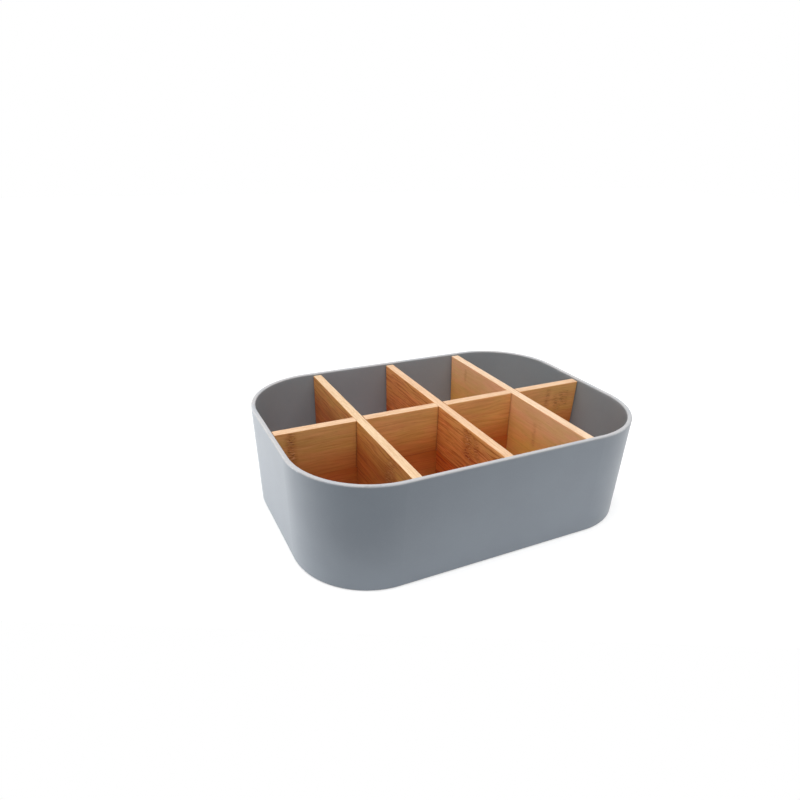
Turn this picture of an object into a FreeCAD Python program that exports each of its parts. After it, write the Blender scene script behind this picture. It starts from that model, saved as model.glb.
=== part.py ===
import FreeCAD, Part
import Sketcher
import math
import os

# Vanity organizer: a moulded tray with a lift-out lattice of half-lapped bamboo dividers.
# It stands on its foot ring with the origin at the bottom centre, X along the tray and Z up.

doc = FreeCAD.newDocument("VanityOrganizer")

# Driving dimensions in millimetres, the draft in degrees
sizes = doc.addObject("Spreadsheet::Sheet", "Sizes")
driving_sizes = [
    ("rim_length", 283.0, "tray over the rim, along X"),
    ("rim_width", 202.5, "tray over the rim, along Y"),
    ("tray_height", 84.0, "from the table to the rim"),
    ("rim_corner_radius", 61.5, "outer corner of the rim, seen from above"),
    ("wall_draft", 3.1, "lean of the walls, which widen towards the rim"),
    ("wall_thickness", 3.5, "wall, measured level"),
    ("floor_thickness", 3.0, "moulded floor"),
    ("foot_height", 1.0, "recess inside the foot ring, under the floor"),
    ("foot_width", 7.0, "foot ring, from the outline inwards"),
    ("base_round", 2.0, "outer bottom edge"),
    ("floor_round", 3.0, "inner edge between floor and wall"),
    ("rim_round", 1.2, "both edges of the rim"),
    ("divider_thickness", 7.2, "bamboo board"),
    ("divider_drop", 1.5, "divider tops below the rim"),
    ("divider_edge_round", 0.6, "sanded edges of the boards"),
    ("cross_spacing", 70.4, "middle to middle of the cross dividers"),
    ("end_clearance", 0.6, "divider end to wall"),
    ("lap_clearance", 0.2, "board to slot, on each side"),
    ("lap_gap", 0.4, "upright, between the two slot ends of a crossing"),
]
for row, (alias, value, meaning) in enumerate(driving_sizes, start=1):
    sizes.set(f"A{row}", alias)
    sizes.set(f"B{row}", str(value))
    sizes.set(f"C{row}", meaning)
    sizes.setAlias(f"B{row}", alias)
doc.recompute()

# Heights, and how far the walls have leaned in there from the rim, as expressions of the sheet
floor_level = "(Sizes.foot_height + Sizes.floor_thickness)"
divider_top = "(Sizes.tray_height - Sizes.divider_drop)"
lap_level = f"(({floor_level} + {divider_top}) / 2)"
lean_at_base = "(Sizes.tray_height * tan(Sizes.wall_draft))"
lean_at_floor = f"((Sizes.tray_height - {floor_level}) * tan(Sizes.wall_draft))"
lean_at_divider_top = "(Sizes.divider_drop * tan(Sizes.wall_draft))"

# The same heights as numbers, for finding edges and for the first placing of sketch lines
floor_height = sizes.foot_height + sizes.floor_thickness
divider_height = sizes.tray_height - sizes.divider_drop

# The most of a wall's thickness that the round on each of its two edges may take
largest_round = 0.45

# A sketch's own names for the points of its lines and arcs, for its origin and for its upright axis
START, END, CENTRE = 1, 2, 3
SKETCH_ORIGIN = (-1, START)
SKETCH_UPRIGHT = -2


def new_sketch(body, name, plane_role):
    """An empty sketch on one of the body's own origin planes."""
    sketch = body.newObject("Sketcher::SketchObject", name)
    plane = next(item for item in body.Origin.OriginFeatures if item.Role == plane_role)
    sketch.AttachmentSupport = [(plane, "")]
    sketch.MapMode = "FlatFace"
    return sketch


def constrain(sketch, kind, *geometry):
    """A rule of a sketch, such as a tangent or a level line."""
    return sketch.addConstraint(Sketcher.Constraint(kind, *geometry))


def add_size(sketch, name, kind, geometry, first_value, expression):
    """A named dimension of a sketch, tied to the sheet."""
    index = constrain(sketch, kind, *geometry, first_value)
    sketch.renameConstraint(index, name)
    sketch.setExpression(f"Constraints.{name}", expression)


def four_lines(sketch, half_width, low, high):
    """A closed frame of four lines about the sketch's upright axis: bottom, right, top and left."""
    corners = [(-half_width, low), (half_width, low), (half_width, high), (-half_width, high)]
    points = [FreeCAD.Vector(across, up) for across, up in corners]
    lines = []
    for first, second in zip(points, points[1:] + points[:1]):
        lines.append(sketch.addGeometry(Part.LineSegment(first, second)))
    for line, next_line in zip(lines, lines[1:] + lines[:1]):
        constrain(sketch, "Coincident", line, END, next_line, START)
    return lines


def level_at(height):
    """A test for edges that lie level at a height."""
    tolerance = 1e-4
    return lambda box: max(abs(box.ZMin - height), abs(box.ZMax - height)) < tolerance


def edges_where(feature, wanted):
    """The names of a feature's edges whose boxes pass a test."""
    names = []
    for number, edge in enumerate(feature.Shape.Edges, start=1):
        if wanted(edge.BoundBox):
            names.append(f"Edge{number}")
    return names


def ease_edges(body, kind, name, wanted, size_name, expression):
    """Rounds or bevels those edges of the body's last feature that pass a test."""
    doc.recompute()
    last = body.Tip
    eased = body.newObject(f"PartDesign::{kind}", name)
    eased.Base = (last, edges_where(last, wanted))
    eased.setExpression(size_name, expression)


# Tray: one moulding with leaning walls, a rounded rim, a floor and a foot ring

def outline_sketch(body, name, height, inset):
    """The tray's rounded outline, level at a height and drawn in from the rim's outline by the inset."""
    sketch = new_sketch(body, name, "XY_Plane")
    sketch.setExpression("AttachmentOffset.Base.z", height)
    radius = sizes.rim_corner_radius
    half_length, half_width = sizes.rim_length / 2, sizes.rim_width / 2
    centre_x, centre_y = half_length - radius, half_width - radius
    side_ends = [
        ((centre_x, half_width), (-centre_x, half_width)),
        ((-half_length, centre_y), (-half_length, -centre_y)),
        ((-centre_x, -half_width), (centre_x, -half_width)),
        ((half_length, -centre_y), (half_length, centre_y)),
    ]
    corner_centres = [(-centre_x, centre_y), (-centre_x, -centre_y), (centre_x, -centre_y), (centre_x, centre_y)]
    quarter_turn = math.pi / 2
    upward = FreeCAD.Vector(0, 0, 1)
    sides = []
    corners = []
    for turn, (ends, centre) in enumerate(zip(side_ends, corner_centres), start=1):
        first, second = [FreeCAD.Vector(*end) for end in ends]
        sides.append(sketch.addGeometry(Part.LineSegment(first, second)))
        circle = Part.Circle(FreeCAD.Vector(*centre), upward, radius)
        arc = Part.ArcOfCircle(circle, turn * quarter_turn, (turn + 1) * quarter_turn)
        corners.append(sketch.addGeometry(arc))
    for side, corner, next_side in zip(sides, corners, sides[1:] + sides[:1]):
        constrain(sketch, "Tangent", side, END, corner, START)
        constrain(sketch, "Tangent", corner, END, next_side, START)
    back, left, front, right = sides
    for side in (back, front):
        constrain(sketch, "Horizontal", side)
    for side in (left, right):
        constrain(sketch, "Vertical", side)
    for corner in corners[1:]:
        constrain(sketch, "Equal", corners[0], corner)
    constrain(sketch, "Symmetric", corners[0], CENTRE, corners[2], CENTRE, *SKETCH_ORIGIN)
    add_size(sketch, "corner_radius", "Radius", (corners[0],), radius, f"Sizes.rim_corner_radius - {inset}")
    add_size(sketch, "length", "DistanceX", (left, START, right, END), 2 * half_length,
             f"Sizes.rim_length - 2 * {inset}")
    add_size(sketch, "width", "DistanceY", (front, START, back, END), 2 * half_width,
             f"Sizes.rim_width - 2 * {inset}")
    return sketch


tray = doc.addObject("PartDesign::Body", "tray")
tray.Label = "tray"
outer_walls = tray.newObject("PartDesign::Pad", "OuterWalls")
outer_walls.Profile = outline_sketch(tray, "RimOutline", "Sizes.tray_height", "0")
outer_walls.Reversed = True
outer_walls.setExpression("Length", "Sizes.tray_height")
outer_walls.setExpression("TaperAngle", "-Sizes.wall_draft")
ease_edges(tray, "Fillet", "BaseRound", level_at(0), "Radius", "Sizes.base_round")

hollow = tray.newObject("PartDesign::Pocket", "Hollow")
hollow.Profile = outline_sketch(tray, "MouthOutline", "Sizes.tray_height", "Sizes.wall_thickness")
hollow.setExpression("Length", f"Sizes.tray_height - {floor_level}")
hollow.setExpression("TaperAngle", "-Sizes.wall_draft")
ease_edges(tray, "Fillet", "FloorRound", level_at(floor_height), "Radius", "Sizes.floor_round")
ease_edges(tray, "Fillet", "RimRound", level_at(sizes.tray_height), "Radius",
           f"min(Sizes.rim_round; {largest_round} * Sizes.wall_thickness)")

recess = tray.newObject("PartDesign::Pocket", "FootRecess")
recess.Profile = outline_sketch(tray, "RecessOutline", "0", f"({lean_at_base} + Sizes.foot_width)")
recess.Reversed = True
recess.setExpression("Length", "Sizes.foot_height")


# Dividers: upright boards whose ends follow the leaning walls, with half-lap slots where they cross

def board_length(span, side_span, side_step, lean):
    """A board's length between two walls that have leaned in by the lean, with a clearance at each end.

    The board stands side_step out of the tray's middle. Where its outer face passes the start of the
    rounded corners, its ends draw back with the wall.
    """
    radius = f"(Sizes.rim_corner_radius - Sizes.wall_thickness - {lean})"
    past_corner = (f"max(0; {side_step} + Sizes.divider_thickness / 2"
                   f" - Sizes.{side_span} / 2 + Sizes.rim_corner_radius)")
    draw_back = f"({radius} - sqrt({radius}^2 - {past_corner}^2))"
    return f"Sizes.{span} - 2 * (Sizes.wall_thickness + {lean} + {draw_back} + Sizes.end_clearance)"


def divider(label, span, side_span, side_step, slot_low, slot_high, first_slot, slot_count):
    """One board drawn along its own X, with its first slot that far left of its middle."""
    body = doc.addObject("PartDesign::Body", label)
    body.Label = label
    half_span = getattr(sizes, span) / 2

    outline = new_sketch(body, f"{label}_outline", "XZ_Plane")
    bottom, _, top, _ = four_lines(outline, half_span, floor_height, divider_height)
    for edge in (bottom, top):
        constrain(outline, "Symmetric", edge, START, edge, END, SKETCH_UPRIGHT)
    add_size(outline, "bottom_length", "DistanceX", (bottom, START, bottom, END), 2 * half_span,
             board_length(span, side_span, side_step, lean_at_floor))
    add_size(outline, "top_length", "DistanceX", (top, END, top, START), 2 * half_span,
             board_length(span, side_span, side_step, lean_at_divider_top))
    add_size(outline, "bottom_level", "DistanceY", (*SKETCH_ORIGIN, bottom, START), floor_height, floor_level)
    add_size(outline, "top_level", "DistanceY", (*SKETCH_ORIGIN, top, START), divider_height, divider_top)
    board = body.newObject("PartDesign::Pad", f"{label}_board")
    board.Profile = outline
    board.SideType = "Symmetric"
    board.setExpression("Length", "Sizes.divider_thickness")

    # The bottom corners are cut back to pass the tray's floor round, and all edges above are sanded
    bottom_end = lambda box: level_at(floor_height)(box) and box.XLength < box.YLength
    ease_edges(body, "Chamfer", f"{label}_relief", bottom_end, "Size", "Sizes.floor_round")
    relief_height = floor_height + sizes.floor_round
    above_relief = lambda box: box.ZMax > relief_height + sizes.divider_edge_round
    ease_edges(body, "Fillet", f"{label}_edges", above_relief, "Radius",
               f"min(Sizes.divider_edge_round; {largest_round} * Sizes.divider_thickness)")

    slot_width = "(Sizes.divider_thickness + 2 * Sizes.lap_clearance)"
    slot = new_sketch(body, f"{label}_slot", "XZ_Plane")
    sill, right, lintel, left = four_lines(slot, half_span, floor_height, divider_height)
    for edge in (sill, lintel):
        constrain(slot, "Horizontal", edge)
    for edge in (left, right):
        constrain(slot, "Vertical", edge)
    add_size(slot, "width", "DistanceX", (sill, START, sill, END), 2 * half_span, slot_width)
    add_size(slot, "place", "DistanceX", (sill, START, *SKETCH_ORIGIN), half_span,
             f"{first_slot} + {slot_width} / 2")
    add_size(slot, "low_level", "DistanceY", (*SKETCH_ORIGIN, sill, START), floor_height, slot_low)
    add_size(slot, "high_level", "DistanceY", (*SKETCH_ORIGIN, lintel, START), divider_height, slot_high)
    lap = body.newObject("PartDesign::Pocket", f"{label}_lap")
    lap.Profile = slot
    lap.SideType = "Symmetric"
    lap.Type = "ThroughAll"
    if slot_count > 1:
        laps = body.newObject("PartDesign::LinearPattern", f"{label}_laps")
        laps.Originals = [lap]
        laps.Direction = (slot, ["H_Axis"])
        laps.Mode = "Spacing"
        laps.setExpression("Offset", "Sizes.cross_spacing")
        laps.Occurrences = slot_count
        body.Tip = laps
    return body


# Each cross divider's name, and its place in steps of the spacing from the tray's middle
cross_places = {"left_cross_divider": -1, "middle_cross_divider": 0, "right_cross_divider": 1}

# The long divider's slots are open at the top and the cross dividers' at the bottom
pieces = [tray]
pieces.append(divider("long_divider", "rim_length", "rim_width", "0",
                      slot_low=f"{lap_level} - Sizes.lap_gap / 2", slot_high="Sizes.tray_height",
                      first_slot="Sizes.cross_spacing", slot_count=len(cross_places)))
quarter_turn_about_z = FreeCAD.Rotation(FreeCAD.Vector(0, 0, 1), 90)
for label, place in cross_places.items():
    cross = divider(label, "rim_width", "rim_length", f"{abs(place)} * Sizes.cross_spacing",
                    slot_low="Sizes.foot_height", slot_high=f"{lap_level} + Sizes.lap_gap / 2",
                    first_slot="0", slot_count=1)
    cross.Placement = FreeCAD.Placement(FreeCAD.Vector(), quarter_turn_about_z)
    cross.setExpression("Placement.Base.x", f"{place} * Sizes.cross_spacing")
    pieces.append(cross)

# Every piece is checked before any file is written
doc.recompute()
for item in doc.Objects:
    if "Invalid" in item.State or "Error" in item.State:
        raise RuntimeError(f"{item.Label} failed: {item.State}")
for piece in pieces:
    if piece.Shape.isNull() or not piece.Shape.isValid() or len(piece.Shape.Solids) != 1:
        raise RuntimeError(f"{piece.Label} is not one valid solid")

os.makedirs("parts", exist_ok=True)
for piece in pieces:
    piece.Shape.exportStep(f"parts/{piece.Label}.step")
    print(piece.Label, round(piece.Shape.Volume, 1), "cubic millimetres")
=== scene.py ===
import bpy
from mathutils import Matrix, Vector

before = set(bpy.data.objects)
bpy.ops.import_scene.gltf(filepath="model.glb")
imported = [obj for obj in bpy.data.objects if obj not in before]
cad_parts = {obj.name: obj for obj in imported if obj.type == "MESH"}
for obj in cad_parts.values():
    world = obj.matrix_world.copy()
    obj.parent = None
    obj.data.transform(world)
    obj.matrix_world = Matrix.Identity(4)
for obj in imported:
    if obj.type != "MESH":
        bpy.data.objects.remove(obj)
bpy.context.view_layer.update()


# Tray: one deep moulding with drawn-in walls, a soft rim and a foot ring under it.
# It is a matte, slightly blue grey plastic from an etched mould, finely grained, with painted shade that
# makes its inside walls a touch darker and warmer than its outside.
# The rim is painted paler in patches as a painted highlight where its rounded top catches the light, and the
# foot is painted paler in patches along its lower edge as a painted highlight of the white table.
def add_node(tree, kind, values=None, **choices):
    """One node with its choices made and its inputs filled by numbers or by outputs of other nodes."""
    made = tree.nodes.new("ShaderNode" + kind)
    for name, choice in choices.items():
        setattr(made, name, choice)
    for name, value in (values or {}).items():
        if isinstance(value, bpy.types.NodeSocket):
            tree.links.new(value, made.inputs[name])
        else:
            made.inputs[name].default_value = value
    return made


def work_out(tree, operation, *terms):
    """The result of one sum on numbers or outputs."""
    return add_node(tree, "Math", dict(enumerate(terms)), operation=operation).outputs[0]


def fade(tree, value, start, end, low=0.0, high=1.0):
    """A soft step from low to high as value goes from start to end."""
    values = {"Value": value, "From Min": start, "From Max": end, "To Min": low, "To Max": high}
    return add_node(tree, "MapRange", values, interpolation_type="SMOOTHSTEP").outputs["Result"]


def mix_colours(tree, share, first, second, blend="MIX"):
    """First laid over by second, by its share."""
    values = {0: share, 6: first, 7: second}
    return add_node(tree, "Mix", values, data_type="RGBA", blend_type=blend, clamp_factor=True).outputs[2]


def speckle(tree, place, scale, detail=2.0, roughness=0.5):
    """Smooth random values from 0 to 1 about 0.5, one blotch to each 1/scale millimetres."""
    values = {"Vector": place, "Scale": scale, "Detail": detail, "Roughness": roughness}
    return add_node(tree, "TexNoise", values).outputs[0]


def millimetres(tree):
    """The piece's own place, in millimetres, as a vector and its three parts."""
    own = add_node(tree, "TexCoord").outputs["Object"]
    scaled = add_node(tree, "VectorMath", {0: own, "Scale": 1000.0}, operation="SCALE").outputs[0]
    return scaled, add_node(tree, "SeparateXYZ", {0: scaled}).outputs


def new_finish(name):
    """An empty material with its shader, ready for its nodes."""
    finish = bpy.data.materials.new(name)
    finish.use_nodes = True
    return finish, finish.node_tree, finish.node_tree.nodes["Principled BSDF"]


def reach(piece, axis):
    """A piece's lowest and highest place along an axis, in millimetres."""
    places = [1000.0 * point.co[axis] for point in piece.data.vertices]
    return min(places), max(places)


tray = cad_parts["tray"]
rim_level = reach(tray, 2)[1]
rim_highlight_start, rim_highlight_full = rim_level - 1.6, rim_level - 0.4
foot_highlight_top, foot_highlight_full = 2.2, 0.3
tray_grey = (0.236, 0.272, 0.316, 1.0)
tray_grey_deep = (0.226, 0.260, 0.303, 1.0)
tray_rim_highlight = (0.348, 0.346, 0.352, 1.0)
tray_fleck_and_foot_highlight = (0.28, 0.31, 0.35, 1.0)
tray_inner_painted_shade = (0.97, 0.945, 0.88, 1.0)
tray_dullness = (0.34, 0.42)
rim_extra_dullness = 0.45
tray_grain_depth = 0.00006

tray_finish, tree, shader = new_finish("tray_moulded_grey")
place, (_, _, height) = millimetres(tree)
clouds = speckle(tree, place, scale=0.035, detail=3.0)
grain = speckle(tree, place, scale=2.6, detail=2.0, roughness=0.6)
colour = mix_colours(tree, fade(tree, clouds, 0.3, 0.7), tray_grey, tray_grey_deep)
outward = add_node(tree, "VectorMath", {0: place, 1: (1.0, 1.0, 0.0)}, operation="MULTIPLY").outputs[0]
facing = add_node(tree, "TexCoord").outputs["Normal"]
facing_out = add_node(tree, "VectorMath", {0: facing, 1: outward}, operation="DOT_PRODUCT").outputs["Value"]
# painted shade: the inside walls are a touch darker and warmer than the outside
colour = mix_colours(tree, fade(tree, facing_out, -10.0, -40.0), colour, tray_inner_painted_shade, "MULTIPLY")
flecks = fade(tree, speckle(tree, place, scale=0.9, detail=1.0), 0.62, 0.74, 0.0, 0.25)
colour = mix_colours(tree, flecks, colour, tray_fleck_and_foot_highlight)
# painted highlight on the rim's top, paler in patches
rim_highlight_patches = fade(tree, clouds, 0.25, 0.6, 0.55, 1.0)
rim_highlight = work_out(tree, "MULTIPLY", fade(tree, height, rim_highlight_start, rim_highlight_full), rim_highlight_patches)
colour = mix_colours(tree, rim_highlight, colour, tray_rim_highlight)
# painted highlight along the foot's lower edge, in patches, for the white table reflected there; the same
# paler colour also gives the tray's fine flecks
foot_highlight_patches = fade(tree, speckle(tree, place, scale=0.45, detail=4.0, roughness=0.7), 0.5, 0.66)
foot_highlight = work_out(tree, "MULTIPLY", fade(tree, height, foot_highlight_top, foot_highlight_full), foot_highlight_patches)
colour = mix_colours(tree, foot_highlight, colour, tray_fleck_and_foot_highlight)
dull = fade(tree, grain, 0.3, 0.7, *tray_dullness)
dull = work_out(tree, "ADD", dull, work_out(tree, "MULTIPLY", rim_highlight, rim_extra_dullness))
relief = add_node(tree, "Bump", {"Strength": 0.25, "Distance": tray_grain_depth, "Height": grain})
tree.links.new(colour, shader.inputs["Base Color"])
tree.links.new(dull, shader.inputs["Roughness"])
tree.links.new(relief.outputs[0], shader.inputs["Normal"])
shader.inputs["Specular IOR Level"].default_value = 0.6
tray.material_slots[0].material = tray_finish


# Dividers: one long board and three cross boards, cut from bamboo panel with a glue line at half height.
# The boards are sanded and left bare, and half-lapped: they hold each other by their slots alone.
# Fibres run along each board, with dark dashes where a knuckle of the cane crossed the strips.
def new_group(name, takes, gives):
    """An empty node group with number inputs and number outputs, and its two end nodes."""
    group = bpy.data.node_groups.new(name, "ShaderNodeTree")
    for label in takes:
        group.interface.new_socket(label, in_out="INPUT", socket_type="NodeSocketFloat")
    for label in gives:
        group.interface.new_socket(label, in_out="OUTPUT", socket_type="NodeSocketFloat")
    return group, group.nodes.new("NodeGroupInput").outputs, group.nodes.new("NodeGroupOutput").inputs


def stretched(tree, along, up, through, length, breadth):
    """A place squeezed along the fibres, so that a blotch is length long and breadth wide, in millimetres."""
    parts = {
        0: work_out(tree, "DIVIDE", along, length),
        1: work_out(tree, "DIVIDE", up, breadth),
        2: work_out(tree, "DIVIDE", through, breadth),
    }
    return add_node(tree, "CombineXYZ", parts).outputs[0]


def drawn_out(tree, place, length, breadth, detail, roughness=0.5):
    """Smooth random values in blotches that are drawn out along the fibres."""
    return speckle(tree, stretched(tree, *place, length, breadth), 1.0, detail, roughness)


def centred(tree, value, size):
    """A random value moved to lie about 0, and made size times as large."""
    return work_out(tree, "MULTIPLY", work_out(tree, "SUBTRACT", value, 0.5), size)


board_foot, board_top = reach(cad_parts["long_divider"], 2)
strip_height = (board_top - board_foot) / 2
glue_line = board_foot + strip_height
board_cut_apart = 613.0

# The wood's figure: fine fibres that wander a little, red streaks, open pores, soft clouds and glue lines
fibres, given, result = new_group(
    "bamboo_fibres",
    ["Along", "Up", "Through", "Bend", "Seed"],
    ["Fibre", "Hair", "Streak", "Pore", "Cloud", "Tint", "Seam"],
)
along = work_out(fibres, "ADD", given["Along"], work_out(fibres, "MULTIPLY", given["Seed"], board_cut_apart))
straight = (along, given["Up"], given["Through"])
wander = centred(fibres, drawn_out(fibres, straight, length=38.0, breadth=11.0, detail=1.0), 5.0)
up = work_out(fibres, "ADD", work_out(fibres, "ADD", given["Up"], wander), given["Bend"])
through = work_out(fibres, "ADD", given["Through"], work_out(fibres, "MULTIPLY", wander, 0.3))
bent = (along, up, through)
fibre = drawn_out(fibres, bent, length=34.0, breadth=1.3, detail=3.0, roughness=0.7)
hair = drawn_out(fibres, bent, length=14.0, breadth=0.42, detail=2.0, roughness=0.6)
streak = drawn_out(fibres, bent, length=34.0, breadth=1.6, detail=3.0, roughness=0.65)
pore = drawn_out(fibres, bent, length=5.0, breadth=0.4, detail=1.0)
cloud = drawn_out(fibres, straight, length=45.0, breadth=16.0, detail=2.0)
tint = drawn_out(fibres, bent, length=24.0, breadth=6.0, detail=2.0)
strip = work_out(fibres, "DIVIDE", work_out(fibres, "SUBTRACT", given["Up"], board_foot), strip_height)
to_seam = work_out(fibres, "MULTIPLY", work_out(fibres, "PINGPONG", strip, 0.5), strip_height)
seam = fade(fibres, to_seam, 0.75, 0.2)
seam = work_out(fibres, "MULTIPLY", seam, fade(fibres, cloud, 0.35, 0.6, 0.3, 1.0))
seam = work_out(fibres, "MULTIPLY", seam, fade(fibres, given["Up"], board_top - 1.5, board_top - 3.5))
for label, value in (
    ("Fibre", fade(fibres, fibre, 0.32, 0.68)),
    ("Hair", fade(fibres, hair, 0.30, 0.70)),
    ("Streak", fade(fibres, streak, 0.48, 0.64)),
    ("Pore", fade(fibres, pore, 0.60, 0.72)),
    ("Cloud", fade(fibres, cloud, 0.30, 0.70)),
    ("Tint", fade(fibres, tint, 0.30, 0.70)),
    ("Seam", seam),
):
    fibres.links.new(value, result[label])

# One knuckle of the cane: a dark ragged band of stacked dashes and pale flecks, with bent fibres beside it
knuckle, given, result = new_group(
    "bamboo_knuckle",
    ["Along", "Up", "Place", "Lean", "Breadth", "Low", "High", "Seed"],
    ["Band", "Marks", "Flecks", "Bend"],
)
full_turn = 6.2832
dash_spacing = 2.1
knuckle_cut_apart = 37.0
seeded = work_out(knuckle, "MULTIPLY", given["Seed"], knuckle_cut_apart)
seeded = work_out(knuckle, "ADD", given["Up"], seeded)
ragged_place = (given["Along"], seeded, given["Seed"])
ragged = drawn_out(knuckle, ragged_place, length=5.0, breadth=3.0, detail=2.0)
lean = work_out(knuckle, "MULTIPLY", work_out(knuckle, "SUBTRACT", given["Up"], given["High"]), given["Lean"])
off = work_out(knuckle, "SUBTRACT", work_out(knuckle, "SUBTRACT", given["Along"], given["Place"]), lean)
off = work_out(knuckle, "ADD", off, centred(knuckle, ragged, 5.0))
apart = work_out(knuckle, "ABSOLUTE", work_out(knuckle, "DIVIDE", off, given["Breadth"]))
above_low = fade(knuckle, work_out(knuckle, "SUBTRACT", given["Up"], given["Low"]), -2.0, 2.0)
below_high = fade(knuckle, work_out(knuckle, "SUBTRACT", given["High"], given["Up"]), -1.0, 2.0)
window = work_out(knuckle, "MULTIPLY", above_low, below_high)
band = work_out(knuckle, "MULTIPLY", fade(knuckle, apart, 1.9, 0.2), window)
core = work_out(knuckle, "MULTIPLY", fade(knuckle, apart, 1.15, 0.35), window)
curved = work_out(knuckle, "ADD", seeded, work_out(knuckle, "MULTIPLY", off, 0.22))
curved = work_out(knuckle, "ADD", curved, centred(knuckle, ragged, 3.4))
dash_place = (given["Along"], curved, given["Seed"])
dash = drawn_out(knuckle, dash_place, length=4.5, breadth=0.9, detail=2.0, roughness=0.6)
stack = work_out(knuckle, "SINE", work_out(knuckle, "MULTIPLY", curved, full_turn / dash_spacing))
dash = work_out(knuckle, "ADD", centred(knuckle, dash, 3.2), work_out(knuckle, "MULTIPLY", stack, 0.4))
marks = work_out(knuckle, "MULTIPLY", fade(knuckle, dash, 0.1, 0.7), core)
flecks = work_out(knuckle, "MULTIPLY", fade(knuckle, dash, -0.2, -0.8), core)
bend = work_out(knuckle, "MULTIPLY", centred(knuckle, ragged, 6.0), band)
for label, value in (("Band", band), ("Marks", marks), ("Flecks", flecks), ("Bend", bend)):
    knuckle.links.new(value, result[label])

fibre_tone = (0.70, 0.53, 0.38, 1.0)
streak_tone = (0.60, 0.34, 0.18, 1.0)
pore_tone = (0.55, 0.40, 0.30, 1.0)
cloud_and_shade_tone = (0.84, 0.80, 0.76, 1.0)
olive_tone = (0.97, 1.0, 0.93, 1.0)
peach_tone = (1.05, 0.97, 1.08, 1.0)
seam_and_shadow_tone = (0.38, 0.26, 0.20, 1.0)
knuckle_tone = (0.74, 0.58, 0.46, 1.0)
fleck_pale = (0.82, 0.44, 0.22, 1.0)
board_grain_depth = 0.0001


def height_tones_with_shade(tree, up, tones):
    """A board's colour by height, with painted shade that makes it darker and redder towards the bottom:
    (height, colour) from the lowest up.
    """
    ramp = add_node(tree, "ValToRGB", {"Fac": work_out(tree, "DIVIDE", up, board_top)})
    stops = ramp.color_ramp.elements
    stops.remove(stops[1])
    stops[0].position = tones[0][0] / board_top
    stops[0].color = (*tones[0][1], 1.0)
    for height, tone in tones[1:]:
        stops.new(height / board_top).color = (*tone, 1.0)
    return ramp.outputs[0]


def knuckle_marks(tree, along, up, knuckles, seed):
    """All knuckles of a board together: (place along it, lean, half breadth, lowest, highest, strength)."""
    together = {"Band": 0.0, "Marks": 0.0, "Flecks": 0.0}
    bend = 0.0
    for number, (spot, lean, breadth, low, high, strength) in enumerate(knuckles):
        values = {
            "Along": along, "Up": up, "Place": spot, "Lean": lean,
            "Breadth": breadth, "Low": low, "High": high, "Seed": seed + 0.5 * number,
        }
        made = add_node(tree, "Group", node_tree=knuckle, values=values).outputs
        for label, so_far in together.items():
            weighed = work_out(tree, "MULTIPLY", made[label], strength)
            together[label] = work_out(tree, "MAXIMUM", so_far, weighed)
        bend = work_out(tree, "ADD", bend, made["Bend"])
    return *together.values(), bend


# Half widths and heights, in millimetres, of the painted shadow lines beside the slots
lap_shadow_core, lap_shadow_edge = 3.7, 4.9
lap_shadow_low, lap_shadow_full = glue_line - 0.75, glue_line + 1.25


def lap_shadow_lines(tree, along, up, laps):
    """Painted shadow: dark lines beside slots that are cut from the board's top down to the glue line, where
    the crossing board shades the gap.
    """
    lines = 0.0
    for lap in laps:
        off = work_out(tree, "ABSOLUTE", work_out(tree, "SUBTRACT", along, lap))
        above = fade(tree, up, lap_shadow_low, lap_shadow_full)
        line = work_out(tree, "MULTIPLY", fade(tree, off, lap_shadow_edge, lap_shadow_core), above)
        lines = work_out(tree, "MAXIMUM", lines, line)
    return lines


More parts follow.
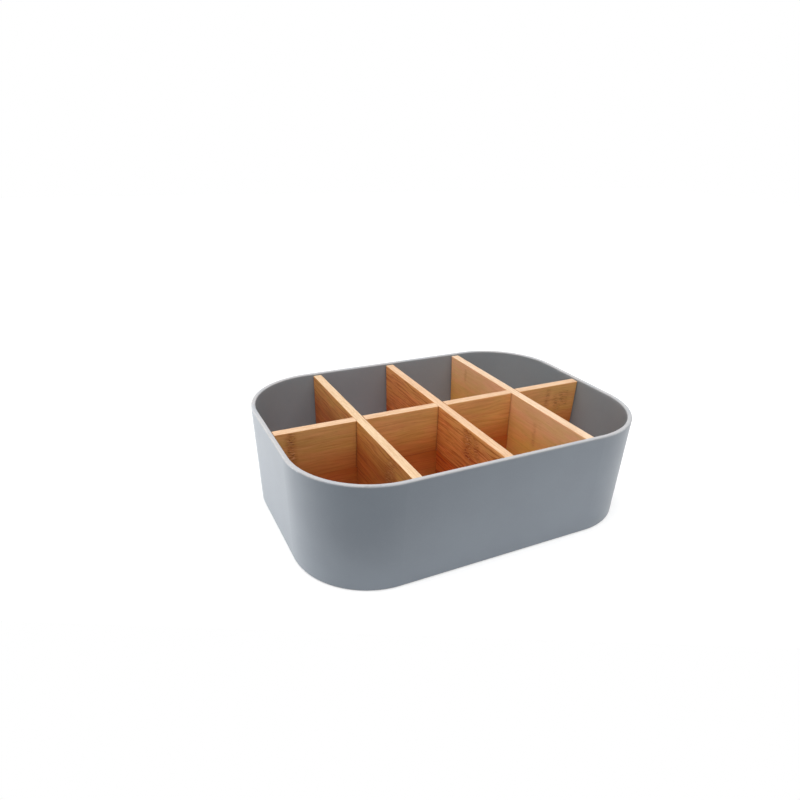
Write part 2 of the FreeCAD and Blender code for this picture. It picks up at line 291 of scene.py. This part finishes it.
def bamboo_finish(
    name, board, along_axis, tones, edge_pale, shade, fibre_share, streak_share, seam_share, laps, mark_tone,
    knuckles, seed,
):
    """Bare bamboo for one board: its tones by height, darker and redder towards the bottom as painted shade,
    its pale sawn edge, the two places along it where its painted shade turns from darker to full tone, how
    strong its fibres, red streaks and glue lines are, where slots are cut from its top, with painted shadow
    lines beside them, and the tone and places of its knuckles."""
    finish, tree, shader = new_finish(name)
    place, parts = millimetres(tree)
    along, up = parts[along_axis], parts[2]
    middle = sum(reach(board, 1 - along_axis)) / 2
    through = work_out(tree, "SUBTRACT", parts[1 - along_axis], middle)
    facing = add_node(tree, "SeparateXYZ", {0: add_node(tree, "TexCoord").outputs["Normal"]}).outputs
    band, marks, flecks, bend = knuckle_marks(tree, along, up, knuckles, seed)
    values = {"Along": along, "Up": up, "Through": through, "Bend": bend, "Seed": float(seed)}
    figure = add_node(tree, "Group", node_tree=fibres, values=values).outputs
    fibre, hair, streak, pore, cloud, tint, seam = figure

    # painted shade: the tones by height darken and redden towards the bottom
    colour = height_tones_with_shade(tree, up, tones)
    for share, strength, tone in (
        (fibre, fibre_share, fibre_tone),
        (hair, fibre_share * 0.5, fibre_tone),
        (streak, streak_share, streak_tone),
        (cloud, 0.5, cloud_and_shade_tone),
        # painted shade along the board, darker towards one end
        (fade(tree, along, shade[1], shade[0]), 0.8, cloud_and_shade_tone),
        (pore, 0.25, pore_tone),
        (seam, seam_share, seam_and_shadow_tone),
        (band, 0.8, knuckle_tone),
        # painted shadow beside the slots
        (lap_shadow_lines(tree, along, up, laps), 0.6, seam_and_shadow_tone),
    ):
        colour = mix_colours(tree, work_out(tree, "MULTIPLY", share, strength), colour, tone, "MULTIPLY")
    colour = mix_colours(tree, 1.0, colour, mix_colours(tree, tint, olive_tone, peach_tone), "MULTIPLY")
    colour = mix_colours(tree, work_out(tree, "MULTIPLY", flecks, 0.5), colour, fleck_pale)
    colour = mix_colours(tree, work_out(tree, "MULTIPLY", marks, 0.85), colour, (*mark_tone, 1.0))

    sawn = work_out(tree, "MULTIPLY", fibre, 0.5)
    edge = mix_colours(tree, sawn, (*edge_pale, 1.0), fibre_tone, "MULTIPLY")
    for share, strength in ((hair, 0.25), (pore, 0.45), (marks, 0.3)):
        edge = mix_colours(tree, work_out(tree, "MULTIPLY", share, strength), edge, pore_tone, "MULTIPLY")
    on_edge = fade(tree, work_out(tree, "ABSOLUTE", facing[2]), 0.35, 0.75)
    colour = mix_colours(tree, on_edge, colour, edge)
    tubes = fade(tree, speckle(tree, place, scale=2.2, detail=1.0), 0.5, 0.64, 0.15, 0.55)
    on_end = fade(tree, work_out(tree, "ABSOLUTE", facing[along_axis]), 0.5, 0.8)
    colour = mix_colours(tree, work_out(tree, "MULTIPLY", on_end, tubes), colour, pore_tone, "MULTIPLY")

    dull = fade(tree, fibre, 0.0, 1.0, 0.46, 0.58)
    height = work_out(tree, "MULTIPLY", hair, 0.5)
    height = work_out(tree, "ADD", height, work_out(tree, "MULTIPLY", fibre, 0.5))
    for sunk, depth in ((seam, 1.5), (marks, 0.8)):
        height = work_out(tree, "SUBTRACT", height, work_out(tree, "MULTIPLY", sunk, depth))
    relief = add_node(tree, "Bump", {"Strength": 0.35, "Distance": board_grain_depth, "Height": height})
    tree.links.new(colour, shader.inputs["Base Color"])
    tree.links.new(dull, shader.inputs["Roughness"])
    tree.links.new(relief.outputs[0], shader.inputs["Normal"])
    shader.inputs["Specular IOR Level"].default_value = 0.4
    return finish


cross_names = ("left_cross_divider", "middle_cross_divider", "right_cross_divider")
cross_places = [sum(reach(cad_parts[name], 0)) / 2 for name in cross_names]
unshaded = (-300.0, -200.0)

# Heights and places are in millimetres
board_looks = {
    "long_divider": dict(
        name="bamboo_long_board",
        along_axis=0,
        tones=[
            (10, (0.66, 0.25, 0.060)),
            (28, (0.57, 0.155, 0.026)),
            (42.9, (0.56, 0.145, 0.022)),
            (43.6, (0.59, 0.175, 0.034)),
            (53, (0.67, 0.26, 0.063)),
            (63, (0.79, 0.385, 0.116)),
            (72, (0.81, 0.425, 0.146)),
            (82, (0.84, 0.465, 0.170)),
        ],
        edge_pale=(0.605, 0.42, 0.27),
        # painted shade along the long board, darker towards its left end
        shade=(-130.0, 30.0),
        fibre_share=0.42,
        streak_share=0.2,
        seam_share=0.35,
        laps=cross_places,
        mark_tone=(0.13, 0.040, 0.010),
        knuckles=[
            (-125.3, 0.0, 3.0, 4.0, 82.0, 1.0),
            (105.5, 0.0, 2.4, 63.0, 80.0, 0.5),
            (114.0, -0.2, 3.0, 58.0, 74.0, 0.45),
            (124.0, 0.1, 6.0, 61.0, 76.0, 0.5),
        ],
        seed=1,
    ),
    "left_cross_divider": dict(
        name="bamboo_left_board",
        along_axis=1,
        tones=[
            (10, (0.62, 0.22, 0.050)),
            (28, (0.54, 0.15, 0.027)),
            (45, (0.50, 0.13, 0.022)),
            (60, (0.53, 0.16, 0.030)),
            (67, (0.60, 0.22, 0.050)),
            (73, (0.78, 0.365, 0.10)),
            (82, (0.83, 0.41, 0.12)),
        ],
        edge_pale=(0.605, 0.45, 0.285),
        shade=unshaded,
        fibre_share=0.5,
        streak_share=0.65,
        seam_share=0.35,
        laps=(),
        mark_tone=(0.30, 0.075, 0.016),
        knuckles=[(-68.0, -0.4, 7.0, 60.0, 81.0, 0.7)],
        seed=5,
    ),
    "middle_cross_divider": dict(
        name="bamboo_middle_board",
        along_axis=1,
        tones=[
            (10, (0.66, 0.20, 0.040)),
            (30, (0.60, 0.14, 0.020)),
            (42.9, (0.60, 0.135, 0.018)),
            (43.6, (0.71, 0.225, 0.052)),
            (58, (0.77, 0.275, 0.073)),
            (70, (0.82, 0.335, 0.096)),
            (82, (0.88, 0.425, 0.138)),
        ],
        edge_pale=(0.595, 0.41, 0.26),
        shade=unshaded,
        fibre_share=0.46,
        streak_share=0.85,
        seam_share=0.8,
        laps=(),
        mark_tone=(0.27, 0.045, 0.006),
        knuckles=[(-48.0, 0.1, 6.0, 58.0, 81.0, 1.0), (-58.0, 0.3, 4.0, 62.0, 79.0, 0.7)],
        seed=9,
    ),
    "right_cross_divider": dict(
        name="bamboo_right_board",
        along_axis=1,
        tones=[
            (10, (0.74, 0.37, 0.105)),
            (30, (0.74, 0.36, 0.090)),
            (45, (0.77, 0.39, 0.100)),
            (58, (0.81, 0.435, 0.158)),
            (70, (0.86, 0.50, 0.235)),
            (82, (0.90, 0.54, 0.285)),
        ],
        edge_pale=(0.63, 0.475, 0.33),
        shade=unshaded,
        fibre_share=0.24,
        streak_share=0.1,
        seam_share=0.1,
        laps=(),
        mark_tone=(0.48, 0.19, 0.075),
        knuckles=[(-38.0, 0.0, 2.0, 48.0, 69.0, 0.45), (70.0, 0.0, 1.8, 66.0, 78.0, 0.5)],
        seed=14,
    ),
}
for node_name, look in board_looks.items():
    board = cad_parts[node_name]
    board.material_slots[0].material = bamboo_finish(board=board, **look)


# Studio: a pale table top that the tray stands on, soft lamps above and beside it, and a white surround.
# The table's front edge lies just before the tray, square to the view.
# Table and surround show white to the camera, and the table keeps the object's shadow.
def seen_plainly(tree):
    """1 for what the camera, a reflection or a clear piece shows, 0 for light that falls on the object."""
    seen = add_node(tree, "LightPath").outputs
    through_pieces = work_out(tree, "MAXIMUM", seen["Is Glossy Ray"], seen["Is Transmission Ray"])
    return work_out(tree, "MAXIMUM", seen["Is Camera Ray"], through_pieces)


def soft_lamp(name, at, aim, width, tall, power, tone=(1.0, 1.0, 1.0)):
    """A soft box, facing its aim."""
    light = bpy.data.lights.new(name, "AREA")
    light.shape = "RECTANGLE"
    light.size = width
    light.size_y = tall
    light.energy = power
    light.color = tone
    lamp = bpy.data.objects.new(name, light)
    lamp.location = at
    lamp.rotation_euler = (Vector(aim) - Vector(at)).to_track_quat("-Z", "Y").to_euler()
    bpy.context.scene.collection.objects.link(lamp)


table_grey = (0.55, 0.55, 0.55, 1.0)
plain_white = (1.0, 1.0, 1.0, 1.0)
near_glow, near_reach = 0.45, 250.0
far_glow, far_reach = 1.0, 900.0
surround_fill = 0.2
table_corners = [
    (2.6, -1.6, 0.0), (2.8, 2.4, 0.0), (-2.4, 2.6, 0.0),
    (-1.85, 0.73, 0.0), (-0.95, 0.30, 0.0), (0.76, -0.575, 0.0),
]
table_mesh = bpy.data.meshes.new("table_top")
table_mesh.from_pydata(table_corners, [], [tuple(range(len(table_corners)))])
table = bpy.data.objects.new("table_top", table_mesh)
bpy.context.scene.collection.objects.link(table)
table_finish, tree, shader = new_finish("table_pale")
shader.inputs["Base Color"].default_value = table_grey
shader.inputs["Roughness"].default_value = 0.9
shader.inputs["Specular IOR Level"].default_value = 0.0
place, _ = millimetres(tree)
far = add_node(tree, "VectorMath", {0: place}, operation="LENGTH").outputs["Value"]
glow = fade(tree, far, near_reach, far_reach, near_glow, far_glow)
glow = work_out(tree, "MULTIPLY", seen_plainly(tree), glow)
white = add_node(tree, "Emission", {"Color": plain_white, "Strength": glow})
both = add_node(tree, "AddShader", {0: shader.outputs[0], 1: white.outputs[0]})
tree.links.new(both.outputs[0], tree.nodes["Material Output"].inputs["Surface"])
table_mesh.materials.append(table_finish)

surround = bpy.data.worlds.new("surround")
bpy.context.scene.world = surround
surround.use_nodes = True
tree = surround.node_tree
backdrop = tree.nodes["Background"]
backdrop.inputs["Color"].default_value = plain_white
tree.links.new(fade(tree, seen_plainly(tree), 0.0, 1.0, surround_fill, 1.0), backdrop.inputs["Strength"])

tray_middle = (0.0, 0.0, 0.04)
soft_lamp("lamp_above", (-0.15, -0.1, 1.35), tray_middle, width=2.0, tall=2.0, power=44.5)
lamp_left_tone = (1.0, 0.95, 0.9)
soft_lamp("lamp_left", (-1.05, 1.1, 0.07), tray_middle, width=1.2, tall=0.12, power=20.5, tone=lamp_left_tone)
soft_lamp("lamp_right", (1.3, -0.9, 0.12), tray_middle, width=1.2, tall=0.2, power=2.1)


# Camera: the view of the photograph, from the left in front and above.
# Its three axes are those of the picture: right, up and back towards the viewer.
view_place = (-0.235417, -0.399057, 0.284267)
view_right = Vector((0.899334, -0.436570, 0.024614))
view_up = Vector((0.152805, 0.366521, 0.917776))
view_back = Vector((-0.409695, -0.821626, 0.396335))
picture_width, view_lens = 36.0, 28.25
camera = bpy.data.cameras.new("view")
camera.sensor_width = picture_width
camera.lens = view_lens
eye = bpy.data.objects.new("view", camera)
turn = Matrix((view_right, view_up, view_back)).transposed().to_4x4()
eye.matrix_world = Matrix.Translation(view_place) @ turn
bpy.context.scene.collection.objects.link(eye)
bpy.context.scene.camera = eye
bpy.context.scene.view_settings.view_transform = "Standard"
